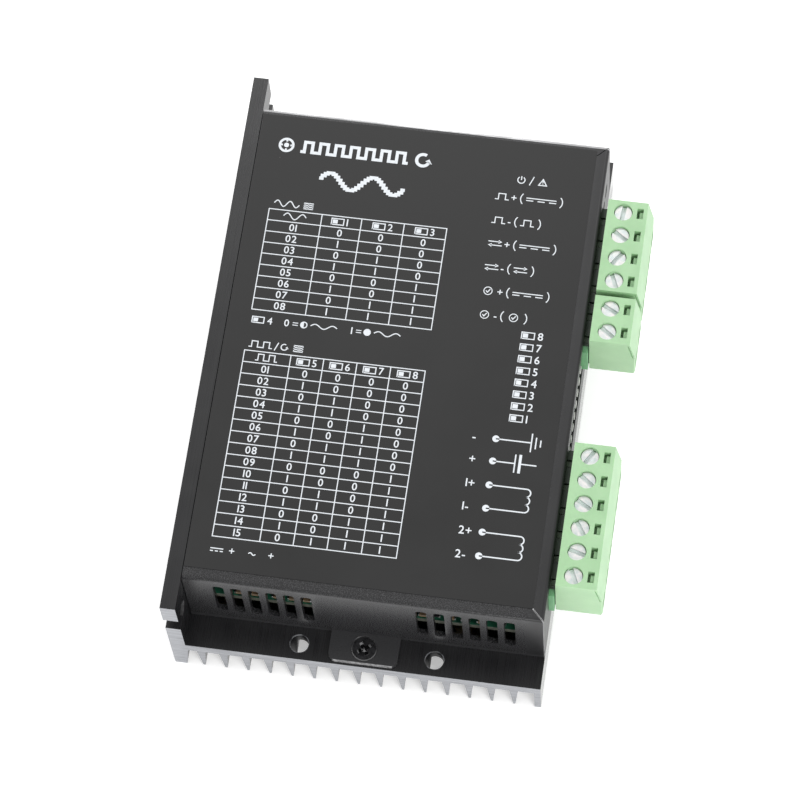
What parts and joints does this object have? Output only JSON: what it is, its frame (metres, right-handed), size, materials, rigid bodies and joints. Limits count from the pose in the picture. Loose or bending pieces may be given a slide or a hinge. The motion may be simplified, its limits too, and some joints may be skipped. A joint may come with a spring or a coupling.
{
  "type": "stepper driver module",
  "caption": "Boxed stepper driver: finned aluminium heat sink, folded vented cover, circuit board, pull-off screw terminal plugs and a row of setting switches.",
  "frame": {"origin": "on the outer face of the heat sink's wall, midway between the centres of its two end slots", "axes": "+X from the wall towards the terminals, +Y along the heat sink, +Z from the fins up to the cover"},
  "size_m": [0.0862, 0.118, 0.0348],
  "materials": {
    "anodised_aluminium": "satin",
    "cover_paint": "satin",
    "label_film": "satin",
    "black_steel": "satin",
    "board_green": "satin",
    "brass": "satin",
    "zinc_steel": "satin",
    "black_epoxy": "matte",
    "tinned_copper": "satin",
    "grey_silicone": "matte",
    "can_sleeve": "gloss",
    "ferrite": "matte",
    "header_green": "satin",
    "plug_green": "satin",
    "clamp_brass": "satin",
    "switch_black": "matte",
    "switch_white": "satin",
    "led_lens": "gloss"
  },
  "bodies": {
    "root": {"heat_sink": "anodised_aluminium", "cover": "cover_paint", "cover_label": "label_film", "cover_screws": "black_steel", "main_board": "board_green", "board_standoffs": "brass", "inner_screws": "zinc_steel", "power_transistors": "black_epoxy", "transistor_frames": "tinned_copper", "insulating_pad": "grey_silicone", "clamp_bar": "zinc_steel", "bulk_capacitors": "can_sleeve", "power_inductor": "ferrite", "sense_resistors": "black_epoxy", "control_chips": "black_epoxy", "component_leads": "tinned_copper", "header_4way": "header_green", "header_2way": "header_green", "header_6way": "header_green", "header_pins": "tinned_copper", "dip_switch_body": "switch_black", "status_leds": "led_lens"},
    "plug_4way": {"plug_4way": "plug_green", "plug_contacts_4way": "tinned_copper"},
    "plug_2way": {"plug_2way": "plug_green", "plug_contacts_2way": "tinned_copper"},
    "plug_6way": {"plug_6way": "plug_green", "plug_contacts_6way": "tinned_copper"},
    "terminal_screw_1": {"terminal_screw_1": "zinc_steel"},
    "terminal_screw_2": {"terminal_screw_2": "zinc_steel"},
    "terminal_screw_3": {"terminal_screw_3": "zinc_steel"},
    "terminal_screw_4": {"terminal_screw_4": "zinc_steel"},
    "terminal_screw_5": {"terminal_screw_5": "zinc_steel"},
    "terminal_screw_6": {"terminal_screw_6": "zinc_steel"},
    "terminal_screw_7": {"terminal_screw_7": "zinc_steel"},
    "terminal_screw_8": {"terminal_screw_8": "zinc_steel"},
    "terminal_screw_9": {"terminal_screw_9": "zinc_steel"},
    "terminal_screw_10": {"terminal_screw_10": "zinc_steel"},
    "terminal_screw_11": {"terminal_screw_11": "zinc_steel"},
    "terminal_screw_12": {"terminal_screw_12": "zinc_steel"},
    "wire_clamp_1": {"wire_clamp_1": "clamp_brass"},
    "wire_clamp_2": {"wire_clamp_2": "clamp_brass"},
    "wire_clamp_3": {"wire_clamp_3": "clamp_brass"},
    "wire_clamp_4": {"wire_clamp_4": "clamp_brass"},
    "wire_clamp_5": {"wire_clamp_5": "clamp_brass"},
    "wire_clamp_6": {"wire_clamp_6": "clamp_brass"},
    "wire_clamp_7": {"wire_clamp_7": "clamp_brass"},
    "wire_clamp_8": {"wire_clamp_8": "clamp_brass"},
    "wire_clamp_9": {"wire_clamp_9": "clamp_brass"},
    "wire_clamp_10": {"wire_clamp_10": "clamp_brass"},
    "wire_clamp_11": {"wire_clamp_11": "clamp_brass"},
    "wire_clamp_12": {"wire_clamp_12": "clamp_brass"},
    "dip_slider_1": {"dip_slider_1": "switch_white"},
    "dip_slider_2": {"dip_slider_2": "switch_white"},
    "dip_slider_3": {"dip_slider_3": "switch_white"},
    "dip_slider_4": {"dip_slider_4": "switch_white"},
    "dip_slider_5": {"dip_slider_5": "switch_white"},
    "dip_slider_6": {"dip_slider_6": "switch_white"},
    "dip_slider_7": {"dip_slider_7": "switch_white"},
    "dip_slider_8": {"dip_slider_8": "switch_white"}
  },
  "joints": [
    {"name": "plug_4way_pull", "type": "slide", "parent": "root", "child": "plug_4way", "axis": [1, 0, 0], "range_m": [0, 0.012]},
    {"name": "plug_2way_pull", "type": "slide", "parent": "root", "child": "plug_2way", "axis": [1, 0, 0], "range_m": [0, 0.012]},
    {"name": "plug_6way_pull", "type": "slide", "parent": "root", "child": "plug_6way", "axis": [1, 0, 0], "range_m": [0, 0.012]},
    {"name": "terminal_screw_1_turn", "type": "hinge", "parent": "plug_4way", "child": "terminal_screw_1", "pos_m": [0.0801, 0.03697, 0], "axis": [0, 0, -1], "range_deg": [0, 1656.5]},
    {"name": "terminal_screw_2_turn", "type": "hinge", "parent": "plug_4way", "child": "terminal_screw_2", "pos_m": [0.0801, 0.03189, 0], "axis": [0, 0, -1], "range_deg": [0, 1656.5]},
    {"name": "terminal_screw_3_turn", "type": "hinge", "parent": "plug_4way", "child": "terminal_screw_3", "pos_m": [0.0801, 0.02681, 0], "axis": [0, 0, -1], "range_deg": [0, 1656.5]},
    {"name": "terminal_screw_4_turn", "type": "hinge", "parent": "plug_4way", "child": "terminal_screw_4", "pos_m": [0.0801, 0.02173, 0], "axis": [0, 0, -1], "range_deg": [0, 1656.5]},
    {"name": "terminal_screw_5_turn", "type": "hinge", "parent": "plug_2way", "child": "terminal_screw_5", "pos_m": [0.0801, 0.01543, 0], "axis": [0, 0, -1], "range_deg": [0, 1656.5]},
    {"name": "terminal_screw_6_turn", "type": "hinge", "parent": "plug_2way", "child": "terminal_screw_6", "pos_m": [0.0801, 0.01035, 0], "axis": [0, 0, -1], "range_deg": [0, 1656.5]},
    {"name": "terminal_screw_7_turn", "type": "hinge", "parent": "plug_6way", "child": "terminal_screw_7", "pos_m": [0.0801, -0.0169, 0], "axis": [0, 0, -1], "range_deg": [0, 1656.5]},
    {"name": "terminal_screw_8_turn", "type": "hinge", "parent": "plug_6way", "child": "terminal_screw_8", "pos_m": [0.0801, -0.02198, 0], "axis": [0, 0, -1], "range_deg": [0, 1656.5]},
    {"name": "terminal_screw_9_turn", "type": "hinge", "parent": "plug_6way", "child": "terminal_screw_9", "pos_m": [0.0801, -0.02706, 0], "axis": [0, 0, -1], "range_deg": [0, 1656.5]},
    {"name": "terminal_screw_10_turn", "type": "hinge", "parent": "plug_6way", "child": "terminal_screw_10", "pos_m": [0.0801, -0.03214, 0], "axis": [0, 0, -1], "range_deg": [0, 1656.5]},
    {"name": "terminal_screw_11_turn", "type": "hinge", "parent": "plug_6way", "child": "terminal_screw_11", "pos_m": [0.0801, -0.03722, 0], "axis": [0, 0, -1], "range_deg": [0, 1656.5]},
    {"name": "terminal_screw_12_turn", "type": "hinge", "parent": "plug_6way", "child": "terminal_screw_12", "pos_m": [0.0801, -0.0423, 0], "axis": [0, 0, -1], "range_deg": [0, 1656.5]},
    {"name": "wire_clamp_1_rise", "type": "slide", "parent": "plug_4way", "child": "wire_clamp_1", "axis": [0, 0, 1], "range_m": [0, 0.0023]},
    {"name": "wire_clamp_2_rise", "type": "slide", "parent": "plug_4way", "child": "wire_clamp_2", "axis": [0, 0, 1], "range_m": [0, 0.0023]},
    {"name": "wire_clamp_3_rise", "type": "slide", "parent": "plug_4way", "child": "wire_clamp_3", "axis": [0, 0, 1], "range_m": [0, 0.0023]},
    {"name": "wire_clamp_4_rise", "type": "slide", "parent": "plug_4way", "child": "wire_clamp_4", "axis": [0, 0, 1], "range_m": [0, 0.0023]},
    {"name": "wire_clamp_5_rise", "type": "slide", "parent": "plug_2way", "child": "wire_clamp_5", "axis": [0, 0, 1], "range_m": [0, 0.0023]},
    {"name": "wire_clamp_6_rise", "type": "slide", "parent": "plug_2way", "child": "wire_clamp_6", "axis": [0, 0, 1], "range_m": [0, 0.0023]},
    {"name": "wire_clamp_7_rise", "type": "slide", "parent": "plug_6way", "child": "wire_clamp_7", "axis": [0, 0, 1], "range_m": [0, 0.0023]},
    {"name": "wire_clamp_8_rise", "type": "slide", "parent": "plug_6way", "child": "wire_clamp_8", "axis": [0, 0, 1], "range_m": [0, 0.0023]},
    {"name": "wire_clamp_9_rise", "type": "slide", "parent": "plug_6way", "child": "wire_clamp_9", "axis": [0, 0, 1], "range_m": [0, 0.0023]},
    {"name": "wire_clamp_10_rise", "type": "slide", "parent": "plug_6way", "child": "wire_clamp_10", "axis": [0, 0, 1], "range_m": [0, 0.0023]},
    {"name": "wire_clamp_11_rise", "type": "slide", "parent": "plug_6way", "child": "wire_clamp_11", "axis": [0, 0, 1], "range_m": [0, 0.0023]},
    {"name": "wire_clamp_12_rise", "type": "slide", "parent": "plug_6way", "child": "wire_clamp_12", "axis": [0, 0, 1], "range_m": [0, 0.0023]},
    {"name": "dip_slider_1_slide", "type": "slide", "parent": "root", "child": "dip_slider_1", "axis": [0, 0, 1], "range_m": [0, 0.0016]},
    {"name": "dip_slider_2_slide", "type": "slide", "parent": "root", "child": "dip_slider_2", "axis": [0, 0, 1], "range_m": [0, 0.0016]},
    {"name": "dip_slider_3_slide", "type": "slide", "parent": "root", "child": "dip_slider_3", "axis": [0, 0, 1], "range_m": [0, 0.0016]},
    {"name": "dip_slider_4_slide", "type": "slide", "parent": "root", "child": "dip_slider_4", "axis": [0, 0, 1], "range_m": [0, 0.0016]},
    {"name": "dip_slider_5_slide", "type": "slide", "parent": "root", "child": "dip_slider_5", "axis": [0, 0, 1], "range_m": [0, 0.0016]},
    {"name": "dip_slider_6_slide", "type": "slide", "parent": "root", "child": "dip_slider_6", "axis": [0, 0, 1], "range_m": [0, 0.0016]},
    {"name": "dip_slider_7_slide", "type": "slide", "parent": "root", "child": "dip_slider_7", "axis": [0, 0, 1], "range_m": [0, 0.0016]},
    {"name": "dip_slider_8_slide", "type": "slide", "parent": "root", "child": "dip_slider_8", "axis": [0, 0, 1], "range_m": [0, 0.0016]}
  ],
  "couplings": [
    {"joint": "terminal_screw_1_turn", "follows": "wire_clamp_1_rise", "rad_per_m": 12566},
    {"joint": "terminal_screw_2_turn", "follows": "wire_clamp_2_rise", "rad_per_m": 12566},
    {"joint": "terminal_screw_3_turn", "follows": "wire_clamp_3_rise", "rad_per_m": 12566},
    {"joint": "terminal_screw_4_turn", "follows": "wire_clamp_4_rise", "rad_per_m": 12566},
    {"joint": "terminal_screw_5_turn", "follows": "wire_clamp_5_rise", "rad_per_m": 12566},
    {"joint": "terminal_screw_6_turn", "follows": "wire_clamp_6_rise", "rad_per_m": 12566},
    {"joint": "terminal_screw_7_turn", "follows": "wire_clamp_7_rise", "rad_per_m": 12566},
    {"joint": "terminal_screw_8_turn", "follows": "wire_clamp_8_rise", "rad_per_m": 12566},
    {"joint": "terminal_screw_9_turn", "follows": "wire_clamp_9_rise", "rad_per_m": 12566},
    {"joint": "terminal_screw_10_turn", "follows": "wire_clamp_10_rise", "rad_per_m": 12566},
    {"joint": "terminal_screw_11_turn", "follows": "wire_clamp_11_rise", "rad_per_m": 12566},
    {"joint": "terminal_screw_12_turn", "follows": "wire_clamp_12_rise", "rad_per_m": 12566}
  ]
}
